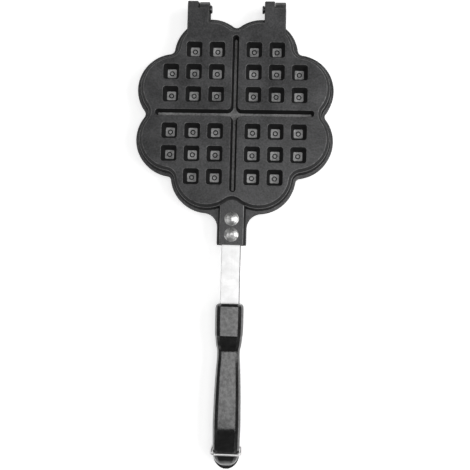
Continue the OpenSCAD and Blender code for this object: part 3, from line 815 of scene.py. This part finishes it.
def coat_finish(f, groups):
    """Satin non-stick coat: speckled faces, painted shade on steep walls and in the round marks and the
    tang's seam, paler pocket floors, and painted highlights on the shoulder's crest and on rounded edges.
    """
    made, tree, shader = finish_base("non_stick_coat")
    places = node(tree, "ShaderNodeTexCoord").outputs
    where, facing = places["Object"], places["Normal"]
    grain = grained(tree, groups, where, 650.0, 45.0, 1.7)
    edges = use_group(tree, groups["edges"], {"Vector": where, "Normal": facing})
    rim = use_group(tree, groups["rim"], {"Vector": where})
    level = maths(tree, "ABSOLUTE", part_of(tree, facing, "Z"))
    height = maths(tree, "ABSOLUTE", maths(tree, "SUBTRACT", part_of(tree, where, "Z"), HINGE_Z))
    # steep faces get painted shade: the walls of pockets, grooves and the shoulder are darkened as if in
    # shade
    steep = between(tree, level, 0.84, 0.58)
    at_floor = window(tree, height, *FLOOR_BAND)
    floor = maths(tree, "MULTIPLY", at_floor, between(tree, level, 0.85, 0.97))
    # painted shade in the recessed round marks on the pocket floors and in the tang's seam
    painted_hollow_shade = maths(tree, "MAXIMUM", window(tree, height, *MARK_BAND), window(tree, height, *SEAM_BAND))
    # dark: where painted shade takes the place of the coat's colour
    dark = maths(tree, "MAXIMUM", steep, painted_hollow_shade)
    # a painted highlight along the crest of the shoulder, outside the pockets
    off_crest = maths(tree, "ABSOLUTE", maths(tree, "SUBTRACT", height, CREST_HEIGHT))
    bent = window(tree, level, (0.42, 0.48), (0.85, 0.95))
    crest = maths(tree, "MULTIPLY", between(tree, off_crest, 0.5 * MM, 0.25 * MM), bent)
    crest = maths(tree, "MULTIPLY", crest, rim.outputs["Mask"])
    slow = maths(tree, "MULTIPLY_ADD", noise(tree, where, 330.0, 2.0), 0.45,
                 noise(tree, where, 24.0, 5.0, 0.6))
    face = blend(tree, between(tree, slow, 0.5, 0.95), f.coat, f.coat_worn)
    tint = blend(tree, dark, face, f.painted_shade)
    ground = blend(tree, rim.outputs["Groove"], f.coat_floor, f.coat_groove)
    tint = blend(tree, floor, tint, ground)
    tint = blend(tree, crest, tint, f.painted_highlight)
    # a painted highlight on rounded edges
    tint = blend(tree, maths(tree, "MULTIPLY", edges.outputs["Mask"], 0.6), tint, f.painted_highlight)
    rough = spread(tree, grain.outputs["Mottle"], 0.36, 0.46)
    fill(tree, shader, {
        "Base Color": toned(tree, tint, grain.outputs["Tone"]),
        "Roughness": maths(tree, "MAXIMUM", rough, maths(tree, "MULTIPLY", steep, 0.9)),
        "Normal": bump(tree, grain.outputs["Height"], 0.35, 0.2 * MM)})
    return made


def metal_finish(name, tint, groups, stretch, rough, contrast, lift, edge_shade_half=None):
    """Bare metal with fine lines and a slow change of gloss, and on a flat bar a painted dark grey shade
    along its edges, wider on the right side.
    """
    made, tree, shader = finish_base(name)
    where = node(tree, "ShaderNodeTexCoord").outputs["Object"]
    lines = use_group(tree, groups["lines"], {"Vector": where, "Stretch": stretch, "Contrast": contrast})
    grain = grained(tree, groups, where, 900.0, 120.0, 0.12)
    tone = maths(tree, "MULTIPLY", lines.outputs["Tone"], grain.outputs["Tone"])
    if edge_shade_half:
        # painted shade along the bar's edges, wider on the right side, which lies in shadow
        off = maths(tree, "ABSOLUTE", maths(tree, "ADD", part_of(tree, where, "X"), 0.15 * MM))
        edge = between(tree, off, edge_shade_half - 0.4 * MM, edge_shade_half - 0.25 * MM)
        tint = blend(tree, edge, tint, (0.12, 0.12, 0.125))
    fill(tree, shader, {
        "Base Color": toned(tree, tint, tone), "Metallic": 1.0,
        "Roughness": spread(tree, grain.outputs["Mottle"], *rough),
        "Normal": bump(tree, lines.outputs["Height"], lift, 0.05 * MM)})
    return made


def rivet_finish(f, groups):
    """Hammered steel: a bright dome with a few broad, soft, greyer dents."""
    made, tree, shader = finish_base("hammered_rivet")
    where = node(tree, "ShaderNodeTexCoord").outputs["Object"]
    grain = grained(tree, groups, where, 1400.0, 300.0, 0.16)
    dents = noise(tree, where, 300.0, 1.0, 0.4, 0.6)
    dull = between(tree, dents, 0.46, 0.62)
    tint = blend(tree, dull, f.rivet, f.rivet_dull)
    fill(tree, shader, {
        "Base Color": toned(tree, tint, grain.outputs["Tone"]), "Metallic": 1.0,
        "Roughness": spread(tree, dull, 0.38, 0.5), "Normal": bump(tree, dents, 0.25, MM)})
    return made


def phenolic_finish(f, groups):
    """Glossy black phenolic: a slow ripple, faint flow marks and a little painted highlight at the edges.
    """
    made, tree, shader = finish_base("black_phenolic_gloss")
    places = node(tree, "ShaderNodeTexCoord").outputs
    where = places["Object"]
    grain = grained(tree, groups, where, 700.0, 130.0, 0.35)
    edges = use_group(tree, groups["edges"], {
        "Vector": where, "Normal": places["Normal"], "Breakup Scale": 180.0})
    # paler rounded edges: a painted highlight
    painted_edge_highlight = maths(tree, "MULTIPLY", edges.outputs["Mask"], 0.2)
    tint = blend(tree, painted_edge_highlight, f.phenolic, (0.05, 0.05, 0.05))
    patchy = between(tree, noise(tree, where, 380.0, 5.0, 0.65), 0.36, 0.64, 0.35, 1.0)
    fill(tree, shader, {
        "Base Color": toned(tree, tint, grain.outputs["Tone"]), "IOR": 1.55,
        "Roughness": spread(tree, grain.outputs["Mottle"], 0.12, 0.2),
        "Normal": bump(tree, noise(tree, where, 260.0, 2.0), 0.12, 0.5 * MM),
        "Coat Weight": patchy, "Coat IOR": 1.6, "Coat Roughness": 0.14})
    return made


def finishes():
    """All the materials, made once."""
    f = bpy.context.scene.waffle_finish
    if "non_stick_coat" not in bpy.data.materials:
        groups = {"grain": grain_group(), "lines": scratch_group(),
                  "edges": edge_group(), "rim": rim_group()}
        coat_finish(f, groups)
        rivet_finish(f, groups)
        phenolic_finish(f, groups)
        # the strap gets a painted shade along its edges
        metal_finish("polished_strap", f.steel, groups, (900.0, 14.0, 900.0), (0.38, 0.48), 0.1, 0.08,
                     bpy.context.scene.waffle_handle.strap_width / 2)
        metal_finish("bright_wire", f.wire, groups, (300.0, 300.0, 300.0), (0.12, 0.22), 0.25, 0.1)
        metal_finish("blackened_pin", f.pin, groups, (60.0, 1200.0, 1200.0), (0.3, 0.42), 0.5, 0.2)
        metal_finish("plated_screw", f.screw, groups, (1500.0, 1500.0, 200.0), (0.22, 0.34), 0.25, 0.15)
        metal_finish("insert_brass", f.brass, groups, (1400.0, 1400.0, 250.0), (0.25, 0.38), 0.3, 0.2)
    return bpy.data.materials


class WAFFLE_OT_castings(bpy.types.Operator):
    """Models the upper and lower castings"""

    bl_idname = "waffle.castings"
    bl_label = "Castings"

    def execute(self, context):
        sizes = context.scene.waffle_casting
        both_halves(sizes, build_casting(sizes), "casting", "non_stick_casting",
                    finishes()["non_stick_coat"], "plate")
        return {"FINISHED"}


class WAFFLE_OT_pins(bpy.types.Operator):
    """Models the two hinge pins"""

    bl_idname = "waffle.pins"
    bl_label = "Hinge pins"

    def execute(self, context):
        c = context.scene.waffle_casting
        for side, name in ((-1, "left_hinge_pin"), (1, "right_hinge_pin")):
            low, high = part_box(name)
            head = (high.z - low.z) / 2
            inner, outer = c.ear_in - 2.2 * MM, c.ear_out
            line = [(inner + along * MM, head - less * MM) for along, less in (
                (0, 1.1), (0.12, 0.5), (0.45, 0.1), (0.8, 0), (1.8, 0), (2, 0.2))]
            line += [(inner + 2 * MM, c.pin), (outer - 0.5 * MM, c.pin), (outer, c.pin - 0.5 * MM)]
            place = (Matrix.Translation((0, c.hinge_y, HINGE_Z))
                     @ Matrix.Rotation(side * math.pi / 2, 4, "Y"))
            pin = soften(turned("pin", line, place))
            adopt(pin, name.replace("hinge_pin", "pin"), "base", "dark_pin",
                  finishes()["blackened_pin"], name)
        return {"FINISHED"}


class WAFFLE_OT_straps(bpy.types.Operator):
    """Models the two flat steel straps"""

    bl_idname = "waffle.straps"
    bl_label = "Straps"

    def execute(self, context):
        c, h = context.scene.waffle_casting, context.scene.waffle_handle
        low, high = h.strap_top - h.strap_thick, h.strap_top
        shoulder = h.grip_start + SHOULDER_DEPTH
        tail = h.grip_start + h.screw_rear + TAIL_PAST_SCREW
        half, thin, hole = h.strap_width / 2, h.tail_width / 2, h.screw + 0.2 * MM
        strap = block("strap", (-half, -shoulder, low), (half, -h.strap_start, high), 0.3 * MM, 3)
        join_on(strap, block("tail", (-thin, -tail, low + SMALL_SKIN),
                             (thin, 2 * MM - shoulder, high - SMALL_SKIN), 0.3 * MM, 3))
        for y in screw_places(h):
            carve(strap, turned("hole", [(0, hole), (c.depth, hole)], at_length(y)))
        both_halves(c, soften(strap), "steel_strap", "bright_strap", finishes()["polished_strap"], "strap")
        return {"FINISHED"}


class WAFFLE_OT_rivets(bpy.types.Operator):
    """Models the four domed rivets"""

    bl_idname = "waffle.rivets"
    bl_label = "Rivets"

    def execute(self, context):
        c, h = context.scene.waffle_casting, context.scene.waffle_handle
        seat, low = c.depth - c.crest_drop, h.strap_top - h.strap_thick
        ball = (h.rivet_head ** 2 + h.rivet_dome ** 2) / (2 * h.rivet_dome)
        closed, shank, edge = 4.4 * MM, 2.6 * MM, 0.15 * MM
        line = [(low - 1.4 * MM, closed - 0.3 * MM), (low - 1.1 * MM, closed), (low, closed),
                (low, shank), (seat, shank), (seat, h.rivet_head - edge), (seat + edge, h.rivet_head)]
        for k in range(1, 13):
            radius = h.rivet_head * math.cos(k / 12.4 * math.pi / 2)
            rise = math.sqrt(ball ** 2 - radius ** 2) - (ball - h.rivet_dome)
            line.append((seat + max(rise, 0.2 * MM), radius))
        rivet = soften(turned("rivet", line), 50)
        steel = finishes()["hammered_rivet"]
        for y, name in ((h.rivet_one, "inner_rivet"), (h.rivet_two, "outer_rivet")):
            both_halves(c, copied(rivet, name, at_length(y)), name + "_dome", "rivet_steel", steel, name)
        bpy.data.objects.remove(rivet)
        return {"FINISHED"}


def grip_stations(h):
    """Stations of a grip's body: distance from its front, half width, facet half width, height."""
    head, waist, palm = h.head_half, h.waist_half, h.palm_half
    head_flat, waist_flat = head * FACET_SHARE, waist * FACET_SHARE - 0.3 * MM
    rows = [(FRONT_ROUND * s, head - 2.6 * MM * d, head_flat - 1.6 * MM * d, h.head_height - 2.4 * MM * d)
            for s, d in ((0, 1), (0.15, 0.46), (0.48, 0.08), (1, 0))]
    rows += [
        (h.head_length / 2, head, head_flat, h.head_height),
        (h.head_length - 0.6 * MM, head - 0.3 * MM, head_flat - 0.3 * MM, h.head_height),
        (h.head_length + 1.2 * MM, head - 0.6 * MM, head_flat - 0.4 * MM, h.head_height - 0.3 * MM),
        ((h.head_length + h.waist_at) / 2, (head + waist) / 2, 6.6 * MM,
         (h.head_height + h.waist_height) / 2),
        (h.waist_at - 1.1 * MM, waist, waist_flat, h.waist_height),
        (h.waist_at + 1.1 * MM, waist, waist_flat, h.waist_height)]
    for s, wide, high in ((0.23, 0.35, 0.45), (0.52, 0.75, 0.85), (0.8, 0.93, 1)):
        half = waist + wide * (palm - waist)
        rows.append((h.waist_at + s * (h.palm_at - h.waist_at), half, half * FACET_SHARE,
                     h.waist_height + high * (h.palm_height - h.waist_height)))
    for s in (0, 0.44, 0.67):
        half = palm - s * 0.4 * MM
        rows.append((h.palm_at + s * (h.bail_y - h.grip_start - h.palm_at), half, half * FACET_SHARE,
                     h.palm_height - s * (h.palm_height - h.waist_height - END_RISE)))
    return rows


def eased(rows, steps):
    """Stations with others between them, on curves that don't overshoot."""
    slopes = []
    for i in range(len(rows)):
        slope = []
        for j in range(1, len(rows[0])):
            rates = [(rows[k + 1][j] - rows[k][j]) / (rows[k + 1][0] - rows[k][0])
                     for k in (i - 1, i) if 0 <= k < len(rows) - 1]
            if len(rates) == 2 and rates[0] * rates[1] <= 0:
                slope.append(0.0)
            else:
                slope.append(2 * rates[0] * rates[-1] / (rates[0] + rates[-1]) if sum(rates) else 0.0)
        slopes.append(slope)
    line = []
    for i in range(len(rows) - 1):
        span = rows[i + 1][0] - rows[i][0]
        for k in range(steps):
            t = k / steps
            station = [rows[i][0] + t * span]
            for j in range(1, len(rows[0])):
                a, b = rows[i][j], rows[i + 1][j]
                m, n = slopes[i][j - 1] * span, slopes[i + 1][j - 1] * span
                station.append((2 * t ** 3 - 3 * t ** 2 + 1) * a + (t ** 3 - 2 * t ** 2 + t) * m
                               + (3 * t ** 2 - 2 * t ** 3) * b + (t ** 3 - t ** 2) * n)
            line.append(station)
    line.append(list(rows[-1]))
    return line


def grip_ring(h, y, half, flat, height):
    """Cross-section of a grip: flat facet, rounded shoulders, upright sides."""
    low, rise, side = h.grip_lift, height - h.grip_lift, half - flat
    small = min(1.0, rise / (4 * MM), half / (4 * MM))
    right = [
        (half, low, 0.6 * MM * small), (half, low + 0.5 * rise, 1.8 * MM * small),
        (half - 0.36 * side, low + 0.81 * rise, 1.4 * MM * small), (flat, height, 0.8 * MM * small)]
    left = [(-x, z, r) for x, z, r in reversed(right)]
    return [Vector((p.x, -y, p.y)) for p in rounded(right + left, 4)]


def build_grip(c, h, is_upper):
    """A grip drawn on the parting plane, with its rounded end, strap socket and screw holes."""
    pivot = -h.bail_drop - c.gap / 2
    swing = math.hypot(bail_height(c, h), h.bail_lean) - h.wire - BAIL_CLEAR
    end_start = h.bail_y + 0.5 * MM
    upper_end = h.bail_y + math.sqrt(swing ** 2 - (h.grip_lift - pivot) ** 2)
    rings = [grip_ring(h, h.grip_start + s[0], *s[1:]) for s in eased(grip_stations(h), 5)]
    for i in range(19):
        u = math.sin(math.radians(90 * i / 18)) * 0.985
        half = (h.palm_half - 0.4 * MM) * math.sqrt(1 - u * u)
        if is_upper:
            y = end_start + u * (upper_end - end_start)
            height = pivot + math.sqrt(max(0, swing ** 2 - (y - h.bail_y) ** 2))
            height = max(height, h.grip_lift + 0.4 * MM)
        else:
            y = h.grip_end - h.grip_round + u * h.grip_round
            tall = h.waist_height + END_RISE - h.grip_lift
            height = h.grip_lift + tall * math.sqrt(1 - 0.9 * u * u)
        rings.append(grip_ring(h, y, half, half * FACET_SHARE, height))
    grip = loft("grip", rings)
    low, high = h.strap_top - h.strap_thick - STRAP_FIT, h.strap_top + STRAP_FIT
    half, thin = h.strap_width / 2 + STRAP_FIT, h.tail_width / 2 + STRAP_FIT
    tail = h.grip_start + h.screw_rear + TAIL_PAST_SCREW + STRAP_FIT
    shoulder = h.grip_start + SHOULDER_DEPTH + STRAP_FIT
    carve(grip, block("socket", (-half, -shoulder, low), (half, MM - h.grip_start, high), 0.3 * MM))
    carve(grip, block("tail_room", (-thin, -tail, low + SMALL_SKIN),
                      (thin, -h.grip_start - 2 * MM, high - SMALL_SKIN), 0.3 * MM))
    seat = h.grip_lift + HEAD_SINK + h.screw_head_height
    wide, bore, room = h.screw_head + 0.2 * MM, h.screw + SCREW_FIT, h.insert + SCREW_FIT
    top = h.strap_top + h.insert_length + 0.2 * MM
    for y in screw_places(h):
        carve(grip, turned("screw_room", [
            (0, wide + 0.3 * MM), (h.grip_lift, wide + 0.3 * MM), (h.grip_lift + 0.3 * MM, wide),
            (seat, wide), (seat, bore), (low + 0.5 * MM, bore)], at_length(y)))
        carve(grip, turned("insert_room", [(high - 0.3 * MM, room), (top, room)], at_length(y)))
    if not is_upper:
        inner, outer = bail_tip(h) - 0.2 * MM, h.palm_half + MM
        for start, end in ((-outer, -inner), (inner, outer)):
            carve(grip, rod_x("wire_hole", start, end, -h.bail_y, h.bail_drop - c.gap / 2,
                              h.wire + PIN_FIT))
    return soften(grip, 40)


class WAFFLE_OT_grips(bpy.types.Operator):
    """Models the upper and lower grips"""

    bl_idname = "waffle.grips"
    bl_label = "Grips"

    def execute(self, context):
        c, h = context.scene.waffle_casting, context.scene.waffle_handle
        black = finishes()["black_phenolic_gloss"]
        for name, body, place in (("upper_grip", "lid", upper_place(c)),
                                  ("lower_grip", "base", lower_place(c))):
            grip = build_grip(c, h, body == "lid")
            grip.data.transform(place)
            adopt(grip, name.replace("grip", "handle_grip"), body, "black_phenolic", black, name)
        return {"FINISHED"}


class WAFFLE_OT_screws(bpy.types.Operator):
    """Models the grip screws and finishes their threaded inserts"""

    bl_idname = "waffle.screws"
    bl_label = "Screws and inserts"

    def execute(self, context):
        c, h = context.scene.waffle_casting, context.scene.waffle_handle
        seat, radius, tall = h.grip_lift + HEAD_SINK, h.screw_head, h.screw_head_height
        end = h.strap_top + h.insert_length
        screw = turned("screw", [
            (seat, radius - 0.9 * MM), (seat + 0.15 * MM, radius - 0.45 * MM),
            (seat + 0.4 * MM, radius - 0.12 * MM), (seat + 0.7 * MM, radius), (seat + tall, radius),
            (seat + tall, h.screw), (end - 0.4 * MM, h.screw), (end, h.screw - 0.4 * MM)])
        arm, thin, sunk = radius * 0.6, 0.4 * MM, seat + 0.7 * tall
        carve(screw, block("slot", (-arm, -thin, seat - MM), (arm, thin, sunk)))
        carve(screw, block("slot", (-thin, -arm, seat - MM), (thin, arm, sunk)))
        soften(screw)
        for y, name in zip(screw_places(h), ("front_screw", "rear_screw")):
            both_halves(c, copied(screw, name, at_length(y)), name + "_bolt", "screw_steel",
                        finishes()["plated_screw"], name)
        bpy.data.objects.remove(screw)
        for name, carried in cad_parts.items():
            if name.endswith("_insert"):
                carried.data.materials.clear()
                carried.data.materials.append(finishes()["insert_brass"])
        return {"FINISHED"}


class WAFFLE_OT_bail(bpy.types.Operator):
    """Models the wire bail that closes over the end of the grips"""

    bl_idname = "waffle.bail"
    bl_label = "Wire bail"

    def execute(self, context):
        c, h = context.scene.waffle_casting, context.scene.waffle_handle
        height = bail_height(c, h)
        side = [(bail_tip(h), 0, 0), (h.bail_half, 0, h.wire + BEND_INSIDE),
                (h.bail_half, math.hypot(height, h.bail_lean), 3 * h.wire)]
        path = rounded(side + [(-x, up, r) for x, up, r in reversed(side)], 10)
        lean = math.atan2(h.bail_lean, height)
        up = Vector((0, -math.sin(lean), math.cos(lean)))
        across = Vector((0, -math.cos(lean), -math.sin(lean)))
        pivot = Vector((0, -h.bail_y, HINGE_Z - h.bail_drop))
        rings = []
        for i, p in enumerate(path):
            ahead = (path[min(i + 1, len(path) - 1)] - path[max(i - 1, 0)]).normalized()
            beside = Vector((-ahead.y, 0, 0)) + ahead.x * up
            centre = pivot + Vector((p.x, 0, 0)) + p.y * up
            rings.append([centre + h.wire * (math.cos(a) * across + math.sin(a) * beside)
                          for a in (2 * math.pi * k / 20 for k in range(20))])
        adopt(soften(loft("bail", rings), 40), "wire_bail_loop", "bail", "bail_wire",
              finishes()["bright_wire"], "wire_bail")
        return {"FINISHED"}


class WAFFLE_OT_stage(bpy.types.Operator):
    """Sets the floor, the lights and the camera"""

    bl_idname = "waffle.stage"
    bl_label = "Stage"

    def execute(self, context):
        scene = context.scene
        clear()
        bpy.ops.mesh.primitive_plane_add(size=12, location=(0, 0, 0))
        floor = added("floor")
        floor.data.transform(Matrix.Translation((0, 0, -0.2 * MM)))
        made, tree, shader = finish_base("white_floor")
        fill(tree, shader, {"Base Color": (0.86, 0.86, 0.86, 1), "Roughness": 0.9})
        path = node(tree, "ShaderNodeLightPath")
        seen = maths(tree, "MAXIMUM", path.outputs["Is Camera Ray"], path.outputs["Is Glossy Ray"])
        seen = maths(tree, "MAXIMUM", seen, path.outputs["Is Transmission Ray"])
        glow = node(tree, "ShaderNodeEmission", {"Color": (1, 1, 1, 1), "Strength": 0.6})
        dark = node(tree, "ShaderNodeEmission", {"Strength": 0.0})
        part = node(tree, "ShaderNodeMixShader", {0: seen, 1: dark.outputs[0], 2: glow.outputs[0]})
        both = node(tree, "ShaderNodeAddShader", {0: shader.outputs[0], 1: part.outputs[0]})
        fill(tree, tree.nodes["Material Output"], {"Surface": both.outputs[0]})
        clear()
        bpy.ops.mesh.primitive_cylinder_add(
            vertices=96, radius=6, depth=1.4, end_fill_type="NOTHING", location=(0, 0, 0.65))
        for shape in (floor, added("backdrop")):
            shape.data.materials.append(made)

        world = bpy.data.worlds.new("studio")
        world.use_nodes = True
        scene.world = world
        fill(world.node_tree, world.node_tree.nodes["Background"],
             {"Color": (1, 1, 1, 1), "Strength": 0.1})

        for name, place, turn, size, watts in (
                ("main_softbox", (0.2, -0.22, 1.2), 0, (0.65, 0.8), 3.9),
                ("left_softbox", (-0.9, -0.12, 0.86), -46, (0.5, 1.2), 2.4),
                ("right_softbox", (0.9, -0.16, 0.86), 46, (0.5, 1.2), 7.2)):
            lamp = bpy.data.lights.new(name, "AREA")
            lamp.shape = "RECTANGLE"
            lamp.size, lamp.size_y = size
            lamp.energy = watts
            light = bpy.data.objects.new(name, lamp)
            light.location = place
            light.visible_camera = False
            light.rotation_euler = (0, math.radians(turn), 0)
            scene.collection.objects.link(light)

        lens = bpy.data.cameras.new("camera")
        lens.lens, lens.sensor_width, lens.clip_start = LENS, 36, 0.01
        camera = bpy.data.objects.new("camera", lens)
        camera.location = CAMERA_PLACE
        camera.rotation_euler = [math.radians(a) for a in CAMERA_TURN]
        scene.collection.objects.link(camera)
        scene.camera = camera
        scene.view_settings.view_transform = "Standard"
        return {"FINISHED"}


class WAFFLE_PT_pieces(bpy.types.Panel):
    """Lists the pieces of the pan"""

    bl_idname = "WAFFLE_PT_pieces"
    bl_label = "Waffle pan"
    bl_space_type = "VIEW_3D"
    bl_region_type = "UI"
    bl_category = "Waffle pan"

    def draw(self, context):
        for operator in OPERATORS:
            self.layout.operator(operator.bl_idname)
        for group in ("waffle_casting", "waffle_handle", "waffle_finish"):
            sizes = getattr(context.scene, group)
            column = self.layout.column()
            for key in sizes.__annotations__:
                column.prop(sizes, key)


OPERATORS = (WAFFLE_OT_castings, WAFFLE_OT_pins, WAFFLE_OT_straps, WAFFLE_OT_rivets,
             WAFFLE_OT_grips, WAFFLE_OT_screws, WAFFLE_OT_bail, WAFFLE_OT_stage)
CLASSES = (CastingSizes, HandleSizes, Finishes, *OPERATORS, WAFFLE_PT_pieces)


def register():
    for kind in CLASSES:
        bpy.utils.register_class(kind)
    bpy.types.Scene.waffle_casting = bpy.props.PointerProperty(type=CastingSizes)
    bpy.types.Scene.waffle_handle = bpy.props.PointerProperty(type=HandleSizes)
    bpy.types.Scene.waffle_finish = bpy.props.PointerProperty(type=Finishes)


def unregister():
    for name in ("waffle_finish", "waffle_handle", "waffle_casting"):
        delattr(bpy.types.Scene, name)
    for kind in reversed(CLASSES):
        bpy.utils.unregister_class(kind)


def corners(box):
    """A box's corners as plain lists."""
    return [[float(value) for value in corner] for corner in box]


def main():
    """Builds every piece and the stage."""
    register()
    for operator in OPERATORS:
        group, name = operator.bl_idname.split(".")
        getattr(getattr(bpy.ops, group), name)()


if __name__ == "__main__":
    main()
